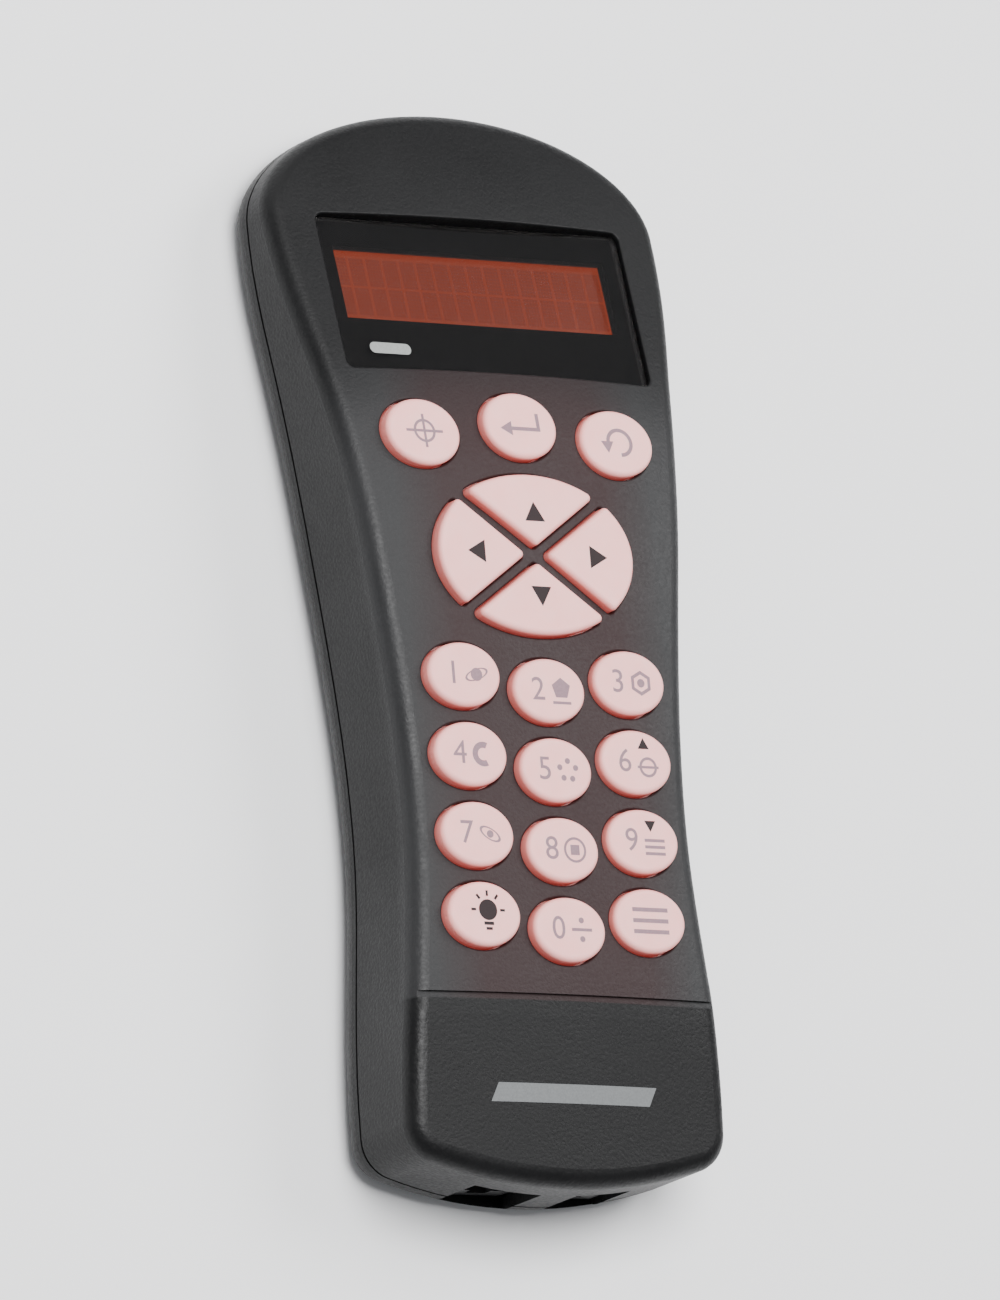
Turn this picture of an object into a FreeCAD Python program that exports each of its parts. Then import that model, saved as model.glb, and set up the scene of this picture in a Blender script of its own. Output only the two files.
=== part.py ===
import FreeCAD, Part
import math
import os
from FreeCAD import Vector

# Hand controller of a motorised telescope: a backlit keypad and a two-line display in a case of two
# shells. Millimetres. It lies on its back: the flat back is z = 0, +Z comes out of the keypad, +Y
# points to the display end, X runs across, and the origin is under the middle of the case.

# ---- case: overall sizes ----
body_length = 200.0
head_width = 82.0
neck_width = 75.0           # across the case at the display's lower edge
dpad_station_width = 66.0   # across the case beside the direction pad
waist_width = 59.4
foot_width = 66.4
thickness = 29.0
wall = 2.2
dome_rise = 22.0            # how far the head end arches past the shoulders
tail_arc_radius = 94.0
foot_corner_radius = 7.0
face_edge_round = 3.4
back_edge_round = 6.5

# ---- case: side profile of the front face ----
head_tilt = 13.0            # degrees that the display leans back from the keypad
bend_radius = 150.0
forehead_radius = 190.0
crown_radius = 350.0        # the face is slightly barrelled across its width
tail_tilt = 5.0             # degrees that the tail's face falls away past the groove
tail_bend_radius = 80.0
parting_height = 8.0
lip_thickness = 1.0
lip_height = 1.6
lip_root = 2.0
lip_gap = 0.15
groove_width = 1.2
groove_depth = 0.7
seam_width = 0.5            # of the shadow line where the shells meet
seam_depth = 0.4
mouth_round = 0.35          # round the edges of the openings in the face

# ---- display ----
display_from_head = 36.25   # window centre to the head end
window_width = 64.0
window_height = 31.0
window_corner = 1.6
window_thickness = 1.5
window_recess = 2.5
window_gap = 0.2            # round the window, in its pocket
tape_thickness = 0.15
tape_width = 2.0
pocket_floor = 1.0
pocket_wall = 1.5
view_end_border = 3.5       # of the window past each end of the view
glass_view_height = 14.5
view_offset = 2.85          # the view sits above the window's centre
view_margin = 0.7           # of the pocket's opening round the view
tape_end_margin = 1.0       # of the tape's opening past the ends of the view
lcd_frame_side_inset = 2.3  # of the module's frame inside the window's sides
lcd_frame_end_inset = 2.5   # and inside its upper and lower edges
lcd_frame_depth = 5.6
lcd_frame_sheet = 0.4
lcd_frame_corner = 0.8
lcd_tab_width = 3.0
lcd_tab_proud = 0.7         # of the tabs under the display's board
lcd_tab_place = 0.3         # share of the frame's width, from the middle to a tab
lcd_fit = 0.1               # between the frame and what it holds
lcd_glass_depth = 2.2
glass_contact_edge = 2.5    # of the lower glass past the upper one
strip_width = 2.0
strip_inset = 0.3           # from the edge of the lower glass
strip_end_inset = 2.0
backlight_inset = 2.8
backlight_corner = 0.5
lcd_board_side_reach = 1.0  # of the module's board past the window's sides
lcd_board_end_reach = 0.5   # and past its upper and lower edges
lcd_board_thickness = 1.2
lcd_board_corner = 1.0
lcd_post_radius = 1.6
lcd_gap = 0.15
driver_chip = (11.0, 9.0, 1.0)
driver_chip_place = (13.0, 2.0)    # from the middle of the view

# ---- keypad ----
top_key_width = 15.2
top_key_height = 12.6
top_key_pitch = 20.3
top_row_below_window = 10.25
top_row_side_drop = 2.1
dpad_below_window = 34.25
dpad_width = 40.8
dpad_height = 29.6
dpad_gap = 2.4
dpad_cross_angle = 35.8     # degrees, of both gaps from the X axis
dpad_corner = 0.9
grid_below_window = 59.25
grid_key_width = 15.0
grid_key_height = 11.8
grid_pitch_x = 17.25
grid_pitch_y = 14.5
grid_side_rise = 2.3
key_proud = 1.7
key_gap = 0.3               # between a key and the edge of its opening
key_edge_round = 1.0
key_travel = 1.2
flange_width = 0.9
flange_thickness = 0.8
flange_gap = 0.4            # below the case's inner face
stem_inset = 2.0
stem_gap = 0.25
pill_radius = 2.6
pill_thickness = 0.4
mat_thickness = 0.9
mat_inset = 0.4             # inside the edge of the board
web_width = 1.1
web_height = 0.3
pill_gap = 0.3              # round a pill, in the mat
groove_below_last_row = 12.0

# ---- electronics ----
board_depth = 10.0          # board's upper side below the face
board_thickness = 1.6
board_inset = 0.6           # inside the case's wall
board_head_margin = 6.4     # past the middle key of the top row
board_tail_margin = 5.0     # short of the tail
pad_thickness = 0.06
pad_radius = 3.0
pad_split = 0.4
press_clearance = 0.04
board_post_radius = 2.5
board_post_inset = 6.5      # from the outside of the case
case_post_radius = 3.0
case_post_from_side = 8.2
case_post_from_tail = 12.0
case_post_from_head = 11.0
case_post_offset = 20.0     # of the head posts from the middle
post_gap = 0.4
case_joint_height = 6.0

# ---- screws: shank radius, head radius, head height, length under the head ----
case_screw = (1.45, 2.8, 1.9, 8.0)
board_screw = (0.95, 1.9, 1.3, 6.4)
lcd_screw = (0.75, 1.5, 1.0, 5.0)
thread_fit = 0.05           # of a screw in its post
hole_spare = 1.0            # of a post's hole past the screw's tip
screw_seat_depth = 3.0
head_clearance = 0.3
shank_clearance = 0.25
screw_tube_wall = 1.2

# ---- pieces on the board ----
lamp_size = (2.0, 1.3, 0.8)
lamp_gap = 0.3              # round a lamp, in the mat
chip_height = 1.6
chip_lift = 0.15            # of a chip's body off the board
chip_corner = 0.3
leg_width = 0.35
leg_reach = 1.2
leg_height = 0.5
leg_overlap = 0.2           # of a leg inside the chip's body
controller_size = 12.0
controller_legs = 11        # on each side
controller_pitch = 0.8
memory_size = (5.0, 6.0)
memory_legs = 4
memory_pitch = 1.27
memory_x = 14.0
crystal_size = (4.6, 11.0, 3.4)
crystal_x = -13.0
crystal_round = 0.4
capacitor_radius = 3.1
capacitor_height = 7.0
capacitor_x = 8.0
capacitor_from_groove = 6.0
resistor_size = (2.0, 1.25, 0.6)
resistor_x = 19.0
resistor_count = 5          # on each side
resistor_pitch = 4.0
resistors_below_dpad = 8.0
ribbon_width = 20.0
ribbon_thickness = 0.3
ribbon_slot = 0.7           # height of the connector's mouth
ribbon_slot_depth = 2.0
ribbon_slot_gap = 0.3       # at each edge of the ribbon
connector_size = (23.0, 4.6, 3.0)
connector_corner = 0.4
connector_from_head = 4.0   # of the board
landing_from_edge = 7.0     # where the ribbon meets the display's board
ribbon_from_mouth = ((-1.4, 0.0), (0.8, -0.2), (2.6, -3.0))    # out of the connector, and up
ribbon_to_landing = ((5.4, -2.4), (2.4, -0.6), (0.0, 0.0))     # short of where it lands, and up

# ---- cord and data sockets at the tail ----
socket_height = 12.7
socket_depth = 15.0
socket_from_tail = 2.6
socket_gap = 0.25
cord_socket_width = 13.2
cord_socket_x = -9.5
cord_contact_count = 6
data_socket_width = 11.0
data_socket_x = 10.5
data_contact_count = 4
plug_height = 7.2
plug_side_wall = 1.6        # of the socket's moulding beside the plug space
plug_top_wall = 1.6
plug_space_depth = 12.6
latch_width = 4.4
latch_height = 2.1
contact_pitch = 1.02
contact_width = 0.4
contact_roof = 0.6          # of the contacts below the board
contact_channel_gap = 0.08
contact_channel_start = 1.2 # from the socket's mouth
contact_mouth = 1.8
contact_back = 1.0
contact_tip_back = 3.4
contact_droop = 2.0
socket_corner = 0.4
socket_mouth_reach = 5.0    # of the openings past each end of a socket

# ---- places that follow from the sizes above ----
head_end = body_length / 2
tail_end = -body_length / 2
display_y = head_end - display_from_head
window_foot_y = display_y - window_height / 2
top_row_y = window_foot_y - top_row_below_window
dpad_y = window_foot_y - dpad_below_window
grid_y = window_foot_y - grid_below_window
last_row_y = grid_y - 3 * grid_pitch_y
groove_y = last_row_y - groove_below_last_row
waist_y = (grid_y + last_row_y) / 2 - grid_pitch_y / 2
board_top = thickness - board_depth
board_bottom = board_top - board_thickness
board_head = top_row_y + board_head_margin
board_tail = tail_end + board_tail_margin
pill_bottom = board_top + pad_thickness + press_clearance + key_travel
tilt = math.radians(head_tilt)
tail_fall = math.radians(tail_tilt)
tall = thickness * 2        # higher than anything in the case
glass_view_width = window_width - 2 * view_end_border
lcd_frame_width = window_width - 2 * lcd_frame_side_inset
lcd_frame_height = window_height - 2 * lcd_frame_end_inset
lcd_board_width = window_width + 2 * lcd_board_side_reach
lcd_board_height = window_height + 2 * lcd_board_end_reach
pocket_depth = window_recess + window_thickness + tape_thickness
lcd_top = -(pocket_depth + pocket_floor + lcd_gap)
lcd_board_top = lcd_top - lcd_frame_depth
lcd_board_bottom = lcd_board_top - lcd_board_thickness
connector_y = board_head - connector_from_head


# ---------------------------------------------------------------- shapes

def block(x, y, low, high, size_x, size_y, corner=0.0):
    """Upright block centred on x, y, with its upright edges rounded."""
    solid = Part.makeBox(size_x, size_y, high - low, Vector(x - size_x / 2, y - size_y / 2, low))
    if corner:
        upright = [e for e in solid.Edges if abs(e.tangentAt(e.FirstParameter).z) > 0.5]
        solid = solid.makeFillet(corner, upright)
    return solid


def post(x, y, low, high, radius):
    return Part.makeCylinder(radius, high - low, Vector(x, y, low))


def outline(inset):
    """Plan outline of the case as a wire at z = 0, moved inwards by inset."""
    shoulder = Vector(head_width / 2 - inset, head_end - dome_rise, 0)
    foot_x = foot_width / 2 - inset
    corner = foot_corner_radius - inset
    arc_radius = tail_arc_radius - inset
    arc_centre_y = tail_end + tail_arc_radius
    corner_y = arc_centre_y - math.sqrt((arc_radius - corner) ** 2 - (foot_x - corner) ** 2)
    reach = arc_radius / (arc_radius - corner)
    blend = Vector((foot_x - corner) * reach, arc_centre_y + (corner_y - arc_centre_y) * reach, 0)
    slant = math.atan2(blend.y - corner_y, blend.x - foot_x + corner) / 2
    elbow = Vector(foot_x - corner + corner * math.cos(slant), corner_y + corner * math.sin(slant), 0)
    side = [
        Vector(foot_x, corner_y, 0),
        Vector(waist_width / 2 - inset, waist_y, 0),
        Vector(dpad_station_width / 2 - inset, dpad_y, 0),
        Vector(neck_width / 2 - inset, window_foot_y, 0),
        shoulder,
    ]

    def flank(points):
        curve = Part.BSplineCurve()
        along = Vector(0, 1, 0) if points[-1].y > points[0].y else Vector(0, -1, 0)
        curve.interpolate(Points=points, InitialTangent=along, FinalTangent=along)
        return curve.toShape()

    def mirrored(point):
        return Vector(-point.x, point.y, 0)

    dome = Part.Ellipse(Vector(0, shoulder.y, 0), shoulder.x, dome_rise - inset)
    left = [mirrored(p) for p in reversed(side)]
    tail = Vector(0, tail_end + inset, 0)
    edges = [
        flank(side),
        Part.Arc(dome, 0, math.pi).toShape(),
        flank(left),
        Part.Arc(left[-1], mirrored(elbow), mirrored(blend)).toShape(),
        Part.Arc(mirrored(blend), tail, blend).toShape(),
        Part.Arc(blend, elbow, side[0]).toShape(),
    ]
    return Part.Wire(edges)


def column(inset, low, high):
    """The plan outline as an upright solid."""
    solid = Part.Face(outline(inset)).extrude(Vector(0, 0, high - low))
    solid.translate(Vector(0, 0, low))
    return solid


def face_height(y, drop=0.0):
    """Height of the front face over the middle line at y, lowered by drop square to the face."""
    bend_end = dpad_y + (bend_radius - drop) * math.sin(tilt)
    if y <= dpad_y:
        return thickness - drop - max(groove_y - y, 0.0) * math.tan(tail_fall)
    if y <= bend_end:
        return thickness - bend_radius + math.sqrt((bend_radius - drop) ** 2 - (y - dpad_y) ** 2)
    start = thickness - bend_radius + (bend_radius - drop) * math.cos(tilt)
    return start - (y - bend_end) * math.tan(tilt)


def under_face(drop):
    """Everything below the front face, lowered by drop: the side profile turned about a far axis."""
    normal = Vector(0, math.sin(tilt), math.cos(tilt))
    bend_centre = Vector(0, dpad_y, thickness - bend_radius)
    radius = bend_radius - drop
    bend_start = Vector(0, dpad_y, thickness - drop)
    bend_middle = bend_centre + Vector(0, radius * math.sin(tilt / 2), radius * math.cos(tilt / 2))
    bend_end = bend_centre + normal * radius
    run = (display_y + window_height / 2 - bend_end.y) / math.cos(tilt)
    brow = bend_end + Vector(0, math.cos(tilt), -math.sin(tilt)) * run
    brow_centre = brow - normal * (forehead_radius - drop)
    radius = forehead_radius - drop
    turn = math.asin((head_end + back_edge_round - brow_centre.y) / radius)
    brow_middle = brow_centre + Vector(0, math.sin((tilt + turn) / 2), math.cos((tilt + turn) / 2)) * radius
    brow_end = brow_centre + Vector(0, math.sin(turn), math.cos(turn)) * radius
    tail_radius = tail_bend_radius - drop
    tail_centre_y = groove_y + tail_bend_radius * math.tan(tail_fall / 2)
    tail_centre = Vector(0, tail_centre_y, thickness - tail_bend_radius)
    tail_start = tail_centre + Vector(0, 0, tail_radius)
    tail_middle = tail_centre + Vector(0, -math.sin(tail_fall / 2), math.cos(tail_fall / 2)) * tail_radius
    tail_bend = tail_centre + Vector(0, -math.sin(tail_fall), math.cos(tail_fall)) * tail_radius
    run = (tail_bend.y - tail_end + back_edge_round) / math.cos(tail_fall)
    tail = tail_bend - Vector(0, math.cos(tail_fall), math.sin(tail_fall)) * run
    wire = Part.Wire([
        Part.LineSegment(tail, tail_bend).toShape(),
        Part.Arc(tail_bend, tail_middle, tail_start).toShape(),
        Part.LineSegment(tail_start, bend_start).toShape(),
        Part.Arc(bend_start, bend_middle, bend_end).toShape(),
        Part.LineSegment(bend_end, brow).toShape(),
        Part.Arc(brow, brow_middle, brow_end).toShape(),
        Part.LineSegment(brow_end, Vector(0, brow_end.y, -thickness)).toShape(),
        Part.LineSegment(Vector(0, brow_end.y, -thickness), Vector(0, tail.y, -thickness)).toShape(),
        Part.LineSegment(Vector(0, tail.y, -thickness), tail).toShape(),
    ])
    axis_point = Vector(0, 0, thickness - crown_radius)
    half_turn = math.degrees(math.asin(head_width * 0.6 / crown_radius))
    face = Part.Face(wire)
    face.rotate(axis_point, Vector(0, 1, 0), -half_turn)
    return face.revolve(axis_point, Vector(0, 1, 0), 2 * half_turn)


def rim_edges(solid, floor, top):
    """Edges where the side wall meets the face, or where it meets the back, which lies at floor."""
    rim = []
    for face in solid.Faces:
        low, high = face.ParameterRange[0::2], face.ParameterRange[1::2]
        normal = face.normalAt((low[0] + high[0]) / 2, (low[1] + high[1]) / 2)
        if abs(normal.z) > 0.02:
            continue
        for edge in face.Edges:
            level = abs(edge.tangentAt((edge.FirstParameter + edge.LastParameter) / 2).z) < 0.9
            on_back = edge.CenterOfMass.z < floor + 0.1
            if level and on_back != top:
                rim.append(edge)
    return rim


def case_body(inset, top_round, back_round):
    """The closed shape of the case, moved inwards by inset on every side."""
    solid = column(inset, inset, tall).common(under_face(inset)).Solids[0]
    solid = solid.makeFillet(back_round, rim_edges(solid, inset, top=False))
    if top_round:
        solid = solid.makeFillet(top_round, rim_edges(solid, inset, top=True))
    return solid


def in_display(shape):
    """Move a shape from the display's own frame (z = 0 on the face, +z outwards) into the case."""
    origin = Vector(0, display_y, face_height(display_y))
    frame = FreeCAD.Placement(origin, FreeCAD.Rotation(Vector(1, 0, 0), -head_tilt))
    moved = shape.copy()
    moved.Placement = frame.multiply(moved.Placement)
    return moved


def screw(x, y, seat, kind):
    """Pan-head screw pointing up, its head under the height of the seat, with a cross recess."""
    shank_radius, head_radius, head_height, length = kind
    head = post(x, y, seat - head_height, seat, head_radius)
    head = head.makeFillet(head_height * 0.45, [e for e in head.Edges if e.BoundBox.ZMax < seat - 0.01])
    shank = post(x, y, seat, seat + length, shank_radius)
    tip = [e for e in shank.Edges if e.BoundBox.ZMin > seat + length - 0.01]
    shank = shank.makeChamfer(shank_radius * 0.4, tip)
    solid = head.fuse(shank)
    slot = head_radius * 0.28
    for size_x, size_y in ((slot, head_radius * 1.15), (head_radius * 1.15, slot)):
        solid = solid.cut(block(x, y, seat - head_height, seat - head_height * 0.4, size_x, size_y))
    return solid.removeSplitter()


def screw_hole(x, y, low, seat, kind):
    """The hole that a screw needs in its post, from low to a little past the screw's tip."""
    return post(x, y, low, seat + kind[3] + hole_spare, kind[0] + thread_fit)


# ---------------------------------------------------------------- keys

def oval(x, y, width, height, grow):
    ellipse = Part.Ellipse(Vector(x, y, 0), width / 2 + grow, height / 2 + grow)
    return Part.Face(Part.Wire(ellipse.toShape()))


def quadrant(side_x, side_y, grow):
    """One quarter of the direction pad, on the side that the direction names."""
    face = oval(0, dpad_y, dpad_width, dpad_height, grow)
    bar_width = dpad_gap - 2 * grow
    for angle in (dpad_cross_angle, -dpad_cross_angle):
        bar = Part.makePlane(dpad_width * 2, bar_width, Vector(-dpad_width, dpad_y - bar_width / 2, 0))
        bar.rotate(Vector(0, dpad_y, 0), Vector(0, 0, 1), angle)
        face = face.cut(bar)
    return max(face.Faces, key=lambda f: f.CenterOfMass.x * side_x + (f.CenterOfMass.y - dpad_y) * side_y)


class Key:
    def __init__(self, name, x, y, shape, corner=0.0, reach_x=0.0, reach_y=0.0):
        self.name = name
        self.x = x              # centre of the contact pill
        self.y = y
        self.shape = shape      # shape(grow) gives the key's plan as a face at z = 0
        self.corner = corner
        self.reach_x = reach_x  # furthest the key comes from the middle line, and towards the head
        self.reach_y = reach_y

    def prism(self, grow, low, high):
        solid = self.shape(grow).extrude(Vector(0, 0, high - low))
        solid.translate(Vector(0, 0, low))
        if self.corner:
            upright = [e for e in solid.Edges if abs(e.tangentAt(e.FirstParameter).z) > 0.9]
            solid = solid.makeFillet(max(self.corner + grow * 0.5, 0.3), upright)
        return solid


def oval_key(name, x, y, width, height):
    return Key(name, x, y, lambda grow: oval(x, y, width, height, grow),
               reach_x=abs(x) + width / 2, reach_y=y + height / 2)


def dpad_key(name, side_x, side_y):
    x = side_x * dpad_width * 0.3
    y = dpad_y + side_y * dpad_height * 0.3
    top = dpad_y + dpad_height / 2 if side_y > 0 else y + dpad_height * 0.3
    return Key(name, x, y, lambda grow: quadrant(side_x, side_y, grow), corner=dpad_corner,
               reach_x=dpad_width / 2, reach_y=top)


def all_keys():
    keys = []
    for name, column_number in (("key_align", -1), ("key_enter", 0), ("key_undo", 1)):
        y = top_row_y - abs(column_number) * top_row_side_drop
        keys.append(oval_key(name, column_number * top_key_pitch, y, top_key_width, top_key_height))
    sides = (("key_up", 0, 1), ("key_left", -1, 0), ("key_right", 1, 0), ("key_down", 0, -1))
    for name, side_x, side_y in sides:
        keys.append(dpad_key(name, side_x, side_y))
    rows = (
        ("key_1", "key_2", "key_3"),
        ("key_4", "key_5", "key_6"),
        ("key_7", "key_8", "key_9"),
        ("key_light", "key_0", "key_menu"),
    )
    for row_number, row in enumerate(rows):
        for column_number, name in zip((-1, 0, 1), row):
            x = column_number * grid_pitch_x
            y = grid_y - row_number * grid_pitch_y + abs(column_number) * grid_side_rise
            keys.append(oval_key(name, x, y, grid_key_width, grid_key_height))
    return keys


def flange_top(key):
    """Height just under the case's inner face over the whole of a key's flange."""
    crown_fall = (key.reach_x + flange_width) ** 2 / (2 * crown_radius)
    return face_height(key.reach_y + flange_width, wall) - crown_fall - flange_gap


def key_solids(key):
    """A silicone key with its retaining flange and stem, and the carbon pill under the stem."""
    top = flange_top(key)
    crown_fall = key.x ** 2 / (2 * crown_radius)
    height = face_height(key.y) - crown_fall + key_proud
    slope = math.degrees(math.asin(min(max((key.y - dpad_y) / bend_radius, 0.0), math.sin(tilt))))
    cutter = block(key.x, key.y, 0, tall, dpad_width * 2, dpad_width * 2)
    cutter.translate(Vector(0, 0, height))
    cutter.rotate(Vector(key.x, key.y, height), Vector(1, 0, 0), -slope)
    cap = key.prism(0, top - flange_thickness, thickness + tall).cut(cutter)
    surface = Vector(0, math.sin(math.radians(slope)), math.cos(math.radians(slope)))
    level = surface.dot(Vector(key.x, key.y, height))
    brim = [e for e in cap.Edges if all(abs(surface.dot(p) - level) < 1e-3 for p in e.discretize(5))]
    cap = cap.makeFillet(key_edge_round, brim)
    flange = key.prism(flange_width, top - flange_thickness, top)
    stem = key.prism(-stem_inset, pill_bottom + pill_thickness, top - flange_thickness / 2)
    pill = post(key.x, key.y, pill_bottom, pill_bottom + pill_thickness, pill_radius)
    return [cap.fuse([flange, stem]).removeSplitter().Solids[0], pill]


# ---------------------------------------------------------------- places used by several pieces

def board_posts():
    """Screw posts of the main board: beside the direction pad, and just past the groove."""
    upper = dpad_station_width / 2 - board_post_inset
    lower = waist_width / 2 - board_post_inset
    places = []
    for side in (-1, 1):
        places.append((side * upper, dpad_y + dpad_height * 0.3))
        places.append((side * lower, groove_y - board_post_radius))
    return places


def case_posts():
    """Screw posts that hold the two shells together, at the head and at the tail."""
    places = []
    for side in (-1, 1):
        places.append((side * case_post_offset, head_end - case_post_from_head))
        places.append((side * (foot_width / 2 - case_post_from_side), tail_end + case_post_from_tail))
    return places


def lcd_posts():
    """Screw posts of the display module, in the display's own frame."""
    x = lcd_board_width / 2 - lcd_post_radius
    y = lcd_board_height / 2 - lcd_post_radius
    return [(sx * x, view_offset + sy * y) for sx in (-1, 1) for sy in (-1, 1)]


def sockets():
    return [
        ("cord", cord_socket_x, cord_socket_width, cord_contact_count),
        ("data", data_socket_x, data_socket_width, data_contact_count),
    ]


def lamp_places():
    """Backlight lamps stand in the gaps between the keys."""
    places = [(0.0, dpad_y)]
    for side in (-1, 1):
        places.append((side * top_key_pitch / 2, top_row_y - top_row_side_drop / 2))
        places.append((side * grid_pitch_x * 1.2, (grid_y + dpad_y) / 2))
        for row_number in range(3):
            y = grid_y - (row_number + 0.5) * grid_pitch_y + grid_side_rise / 2
            places.append((side * grid_pitch_x / 2, y))
    return places


keys = all_keys()


# ---------------------------------------------------------------- case

def socket_openings(grow):
    """Blocks through the tail wall in which the sockets stand."""
    cuts = []
    for _, x, width, _ in sockets():
        low = board_bottom - socket_height - grow
        y = tail_end + socket_depth / 2
        reach = socket_depth + 2 * socket_mouth_reach
        cuts.append(block(x, y, low, board_bottom + grow, width + 2 * grow, reach))
    return cuts


def seam_cut():
    """Ring cut into both shells' outsides where they meet."""
    low, high = parting_height - seam_width / 2, parting_height + seam_width / 2
    return column(-wall, low, high).cut(column(seam_depth, low, high))


def mouth_edges(shell):
    """Edges of the key openings and of the display's pocket on the outside of the face."""
    mouths = [key.shape(key_gap).BoundBox for key in keys]
    window_corner_point = Vector(-window_width / 2, -window_height / 2, 0)
    mouths.append(in_display(Part.makePlane(window_width, window_height, window_corner_point)).BoundBox)
    for mouth in mouths:
        mouth.enlarge(seam_width)
    found = []
    for edge in shell.Edges:
        points = edge.discretize(4)
        on_face = all(p.z > face_height(p.y) - p.x ** 2 / (2 * crown_radius) - mouth_round for p in points)
        middle = edge.CenterOfMass
        inside = any(m.XMin < middle.x < m.XMax and m.YMin < middle.y < m.YMax for m in mouths)
        if on_face and inside:
            found.append(edge)
    return found


def front_shell(outer, inner):
    """Face and upper side walls, with openings for the keys, the display pocket and the posts."""
    inside = case_body(wall / 2, 0, back_edge_round - wall / 2)
    shell = outer.cut(inner).common(block(0, 0, parting_height, tall, body_length * 2, body_length * 2))
    tub_size = (window_width + 2 * pocket_wall, window_height + 2 * pocket_wall)
    tub = block(0, 0, lcd_top + lcd_gap, 0, tub_size[0], tub_size[1], window_corner)
    shell = shell.fuse(in_display(tub).common(inside))
    posts = [post(x, y, board_top, tall, board_post_radius) for x, y in board_posts()]
    posts += [post(x, y, case_joint_height, tall, case_post_radius) for x, y in case_posts()]
    posts = [p.common(inside) for p in posts]
    pocket_inside = lcd_top + lcd_gap + pocket_floor / 2
    posts += [in_display(post(x, y, lcd_board_top, pocket_inside, lcd_post_radius)) for x, y in lcd_posts()]
    shell = shell.fuse(posts)
    cuts = [key.prism(key_gap, board_top, tall) for key in keys]
    cuts.append(in_display(block(0, 0, -pocket_depth, thickness, window_width, window_height, window_corner)))
    view_size = (glass_view_width + 2 * view_margin, glass_view_height + 2 * view_margin)
    cuts.append(in_display(block(0, view_offset, lcd_top, 0, view_size[0], view_size[1])))
    cuts += [screw_hole(x, y, board_top, board_bottom, board_screw) for x, y in board_posts()]
    cuts += [screw_hole(x, y, case_joint_height, screw_seat_depth, case_screw) for x, y in case_posts()]
    for x, y in lcd_posts():
        cuts.append(in_display(screw_hole(x, y, lcd_board_top, lcd_board_bottom, lcd_screw)))
    cuts += socket_openings(socket_gap)
    across = block(0, groove_y, 0, tall, body_length, groove_width)
    cuts.append(across.cut(under_face(groove_depth)))
    cuts.append(seam_cut())
    shell = shell.cut(cuts).removeSplitter()
    return shell.makeFillet(mouth_round, mouth_edges(shell))


def back_shell(outer, inner):
    """Flat back with rounded edges, a locating lip inside the front shell, and tubes for the screws."""
    shell = outer.cut(inner).common(block(0, 0, 0, parting_height, body_length * 2, body_length * 2))
    low, high = parting_height - lip_root, parting_height + lip_height
    lip_inset = wall + lip_gap
    lip = column(lip_inset, low, high).cut(column(lip_inset + lip_thickness, low, high))
    lip = lip.common(under_face(lip_inset))
    root = column(wall / 2, low, parting_height).cut(column(lip_inset + lip_thickness, low, parting_height))
    parts = [lip, root]
    tube_radius = case_post_radius + screw_tube_wall
    parts += [post(x, y, wall / 2, case_joint_height - lip_gap, tube_radius) for x, y in case_posts()]
    shell = shell.fuse(parts)
    cuts = [seam_cut()]
    cuts += [post(x, y, 0, screw_seat_depth, case_screw[1] + head_clearance) for x, y in case_posts()]
    cuts += [post(x, y, 0, case_joint_height, case_screw[0] + shank_clearance) for x, y in case_posts()]
    cuts += socket_openings(socket_gap)
    return shell.cut(cuts).removeSplitter()


def case_screws():
    return Part.makeCompound([screw(x, y, screw_seat_depth, case_screw) for x, y in case_posts()])


# ---------------------------------------------------------------- display

def display_window():
    size = (window_width - 2 * window_gap, window_height - 2 * window_gap)
    low, high = -window_recess - window_thickness, -window_recess
    return in_display(block(0, 0, low, high, size[0], size[1], window_corner - window_gap))


def window_tape():
    """Double-sided tape frame between the window and the floor of its pocket."""
    high = -window_recess - window_thickness
    size = (window_width - 2 * window_gap, window_height - 2 * window_gap)
    frame = block(0, 0, high - tape_thickness, high, size[0], size[1], window_corner - window_gap)
    opening_size = (glass_view_width + 2 * tape_end_margin, glass_view_height + 2 * tape_width)
    opening = block(0, view_offset, high - tape_thickness, high, opening_size[0], opening_size[1])
    return in_display(frame.cut(opening))


def lcd_tabs(low, high, gap):
    """Blocks where the frame's four tabs stand, grown by a gap."""
    x = lcd_frame_width * lcd_tab_place
    y = (lcd_frame_height - lcd_frame_sheet) / 2
    size = (lcd_tab_width + 2 * gap, lcd_frame_sheet + 2 * gap)
    return [
        block(side_x * x, view_offset + side_y * y, low, high, size[0], size[1])
        for side_x in (-1, 1) for side_y in (-1, 1)
    ]


def lcd_frame():
    """Pressed metal frame over the glass, with four tabs through the display's board."""
    outside = block(0, view_offset, lcd_board_top, lcd_top, lcd_frame_width, lcd_frame_height, lcd_frame_corner)
    inside = block(0, view_offset, lcd_board_top, lcd_top - lcd_frame_sheet,
                   lcd_frame_width - 2 * lcd_frame_sheet, lcd_frame_height - 2 * lcd_frame_sheet)
    opening = block(0, view_offset, lcd_board_top, lcd_top, glass_view_width, glass_view_height)
    tabs = lcd_tabs(lcd_board_bottom - lcd_tab_proud, lcd_board_top, 0)
    return in_display(outside.cut([inside, opening]).fuse(tabs).removeSplitter())


def lcd_inner_size():
    edge = lcd_frame_sheet + lcd_fit
    return lcd_frame_width - 2 * edge, lcd_frame_height - 2 * edge


def lcd_glass():
    """Two bonded sheets of glass, the lower one with the contact edges."""
    width, height = lcd_inner_size()
    high = lcd_top - lcd_frame_sheet
    upper_height = height - 2 * glass_contact_edge
    upper = block(0, view_offset, high - lcd_glass_depth / 2, high, width, upper_height)
    lower = block(0, view_offset, high - lcd_glass_depth, high - lcd_glass_depth / 2, width, height)
    return in_display(upper.fuse(lower))


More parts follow.
